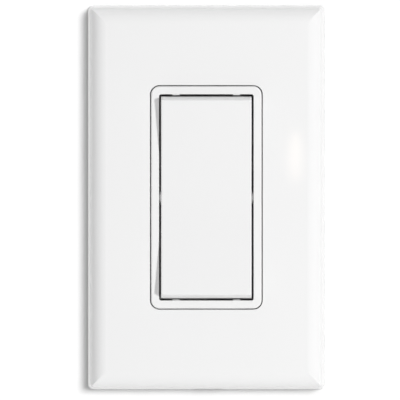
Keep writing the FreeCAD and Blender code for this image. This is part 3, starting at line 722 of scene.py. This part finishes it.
def fill_light(tree):
    """The room's strength in every direction."""
    place = put(tree, "ShaderNodeTexCoord").outputs["Generated"]
    way = put(tree, "ShaderNodeSeparateXYZ", {"Vector": place}).outputs
    height = reckon(tree, "ABSOLUTE", way["Z"])
    upright = reckon(tree, "MULTIPLY", height, room_above_and_below)
    beside = reckon(tree, "ABSOLUTE", reckon(tree, "SUBTRACT", way["X"], panel_middle))
    panel = put(tree, "ShaderNodeMapRange", {
        "Value": beside, "From Max": panel_half_width, "To Min": panel_on_left, "To Max": 0.0})
    return reckon(tree, "ADD", upright, panel.outputs["Result"])


def light_room():
    world = bpy.data.worlds.new("room")
    bpy.context.scene.world = world
    world.use_nodes = True
    tree = world.node_tree
    tree.nodes.clear()
    white = (1.0, 1.0, 1.0, 1.0)
    room = put(tree, "ShaderNodeBackground", {"Color": white, "Strength": fill_light(tree)})
    ray = put(tree, "ShaderNodeLightPath").outputs
    seen = reckon(tree, "MAXIMUM", ray["Is Camera Ray"], ray["Is Glossy Ray"])
    seen = reckon(tree, "MAXIMUM", seen, ray["Is Transmission Ray"])
    level = put(tree, "ShaderNodeMapRange", {
        "Value": ray["Is Camera Ray"], "To Min": mirrored_strength, "To Max": backdrop_strength})
    backdrop = put(tree, "ShaderNodeBackground", {"Color": white, "Strength": level.outputs["Result"]})
    both = put(tree, "ShaderNodeMixShader", {0: seen, 1: room.outputs[0], 2: backdrop.outputs[0]})
    put(tree, "ShaderNodeOutputWorld", {"Surface": both.outputs["Shader"]})


light_room()
print("room", room_above_and_below, "above and below,", panel_on_left, "on the left")

# %% [markdown]
# ## Lamps
# The rocker's raised ends throw two slim wedges of shadow on the left of the bezel, so one small lamp stands
# to the right: the wedges' width tells its slant and their crisp ends its size. The plate's shadow on the
# wall is much softer and falls down as well, so it comes from another, broad light, which here is kept for
# the wall alone. The third lamp is a glint, a small warm window of light that only gloss shows, as a soft
# highlight on the right of the plate. Lengths are in metres, and powers in watts or, for the sun, in watts
# to a square metre.


# %% Lamps
def add_lamp(name, kind, towards, power, distance=0.0):
    """A lamp that shines on the switch from the direction given."""
    way = Vector(towards).normalized()
    lamp = bpy.data.objects.new(name, bpy.data.lights.new(name, kind))
    lamp.data.energy = power
    lamp.location = way * distance
    lamp.rotation_euler = way.to_track_quat("Z", "Y").to_euler()
    bpy.context.scene.collection.objects.link(lamp)
    return lamp


def light_only(lamp, thing, state):
    """Let a lamp light only this thing, or everything but this thing."""
    group = bpy.data.collections.new(lamp.name + " reach")
    group.objects.link(thing)
    group.collection_objects[0].light_linking.link_state = state
    lamp.light_linking.receiver_collection = group


key_way = (0.63, -0.775, -0.09)
key_power = 12.0
key_distance = 1.4
key_width = 0.15
key = add_lamp("key", "AREA", key_way, key_power, key_distance)
key.data.shape = "DISK"
key.data.size = key_width
key.visible_glossy = False
light_only(key, wall, "EXCLUDE")

wash_way = (0.4, -1.0, 0.205)
wash_power = 3.6
wash_spread = math.radians(22)
wash = add_lamp("wall wash", "SUN", wash_way, wash_power)
wash.data.angle = wash_spread
light_only(wash, wall, "INCLUDE")

glint_way = (0.0, -1.0, 0.0)
glint_power = 0.0005
glint_distance = 0.08
glint_right, glint_up = 26.9 * MM, 12.2 * MM
glint_width, glint_height = 3 * MM, 15 * MM
glint_warmth = (1.0, 0.8, 0.62)
glint = add_lamp("glint", "AREA", glint_way, glint_power, glint_distance)
glint.location += Vector((glint_right, 0.0, glint_up))
glint.data.color = glint_warmth
glint.data.shape = "ELLIPSE"
glint.data.size, glint.data.size_y = glint_width, glint_height
glint.visible_diffuse = False
glint.visible_camera = False
print("lamps", key.name, wash.name, glint.name)

# %% [markdown]
# ## Camera
# The photograph is taken square on from far away, so the lens is long. The picture is 400 pixels wide and
# one millimetre at the plate's outline, a few millimetres in front of the wall, is 3.36 pixels, which gives
# the distance. The switch sits a little right of the middle and a little above it, so the camera stands that
# much to the left and below.

# %% Camera
picture_width, pixels_per_mm = 400, 3.36
pixels_right, pixels_up = 6.3, 2.6
lens, sensor = 1500.0, 36.0
outline_depth = 5.0
distance = picture_width / pixels_per_mm * lens / sensor + outline_depth
lens_data = bpy.data.cameras.new("camera")
lens_data.lens = lens
lens_data.sensor_width = sensor
lens_data.clip_start = 0.01
camera = bpy.data.objects.new("camera", lens_data)
camera.location = (-pixels_right / pixels_per_mm * MM, -distance * MM, -pixels_up / pixels_per_mm * MM)
camera.rotation_euler = (math.pi / 2, 0.0, 0.0)
bpy.context.scene.collection.objects.link(camera)
bpy.context.scene.camera = camera
bpy.context.scene.view_settings.view_transform = "Standard"
print("camera", round(distance), "mm from the wall")
